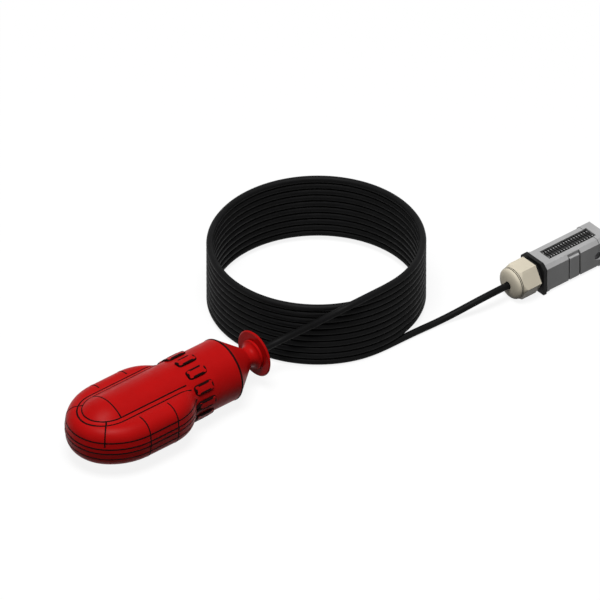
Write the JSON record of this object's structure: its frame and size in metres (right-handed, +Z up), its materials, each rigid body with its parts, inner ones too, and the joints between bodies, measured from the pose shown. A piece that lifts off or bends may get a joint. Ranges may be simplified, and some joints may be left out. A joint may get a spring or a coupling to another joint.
{
  "type": "cable float switch",
  "caption": "Red moulded float with a flat buoyancy ring on a coiled black cable with a gland nut and a grey plug; a ball works a microswitch inside.",
  "frame": {"origin": "on the surface it lies on, under the middle of the float", "axes": "+X along the float's axis from its nose to its gland, +Z up, +Y to the side where the coil lies"},
  "size_m": [0.4525, 0.1793, 0.0575],
  "materials": {
    "float_red": "smooth moulded polypropylene, satin gloss",
    "cable_black": "extruded rubber sheath, low sheen",
    "seal_rubber": "soft moulded rubber",
    "gasket_dark": "moulded rubber gasket",
    "potting_resin": "poured resin",
    "carrier_plastic": "moulded, light",
    "switch_plastic": "moulded, black",
    "button_plastic": "moulded",
    "polished_steel": "polished ball",
    "spring_steel": "rolled strip",
    "screw_steel": "zinc plated",
    "contact_brass": "stamped and turned brass",
    "core_insulation": "extruded insulation",
    "nut_beige": "moulded polyamide",
    "flange_dark": "moulded polyamide",
    "hood_grey": "moulded polyamide",
    "insert_dark": "moulded insert"
  },
  "bodies": {
    "switch_assembly": {"float_tube": "float_red", "ring_upper": "float_red", "ring_lower": "float_red", "rear_cap": "float_red", "bell_gland": "float_red", "cap_seal": "seal_rubber", "grommet": "seal_rubber", "gland_seal": "seal_rubber", "flange_gasket": "gasket_dark", "sheath_end_float": "cable_black", "sheath_end_plug": "cable_black", "cable_float_lead": "cable_black", "cable_plug_lead": "cable_black", "cable_coil": "cable_black", "potting": "potting_resin", "switch_carrier": "carrier_plastic", "track_cover": "carrier_plastic", "cord_clamp": "carrier_plastic", "switch_case": "switch_plastic", "switch_cover": "switch_plastic", "lever_pin": "spring_steel", "switch_screws": "screw_steel", "clamp_screws": "screw_steel", "side_screws": "screw_steel", "switch_terminals": "contact_brass", "contact_spring": "contact_brass", "fixed_contacts": "contact_brass", "contact_pins": "contact_brass", "float_cores": "core_insulation", "plug_cores": "core_insulation", "gland_nut": "nut_beige", "gland_base": "flange_dark", "plug_hood": "hood_grey", "side_latches": "hood_grey", "contact_insert": "insert_dark"},
    "ball": {"steel_ball": "polished_steel"},
    "lever": {"switch_lever": "spring_steel"},
    "button": {"switch_button": "button_plastic"}
  },
  "joints": [
    {"name": "ball_roll", "type": "slide", "parent": "switch_assembly", "child": "ball", "axis": [1, 0, 0], "range_m": [0, 0.0256]},
    {"name": "lever_press", "type": "hinge", "parent": "switch_assembly", "child": "lever", "pos_m": [0.0024, -0.0092, 0.0276], "axis": [0, 0, -1], "range_deg": [0, 6], "stiffness_Nm_per_rad": 0.02, "springref_deg": -5.73},
    {"name": "button_press", "type": "slide", "parent": "switch_assembly", "child": "button", "axis": [1, 0, 0], "range_m": [0, 0.00046]}
  ],
  "couplings": [
    {"joint": "button_press", "follows": "lever_press", "m_per_rad": 0.00419}
  ]
}
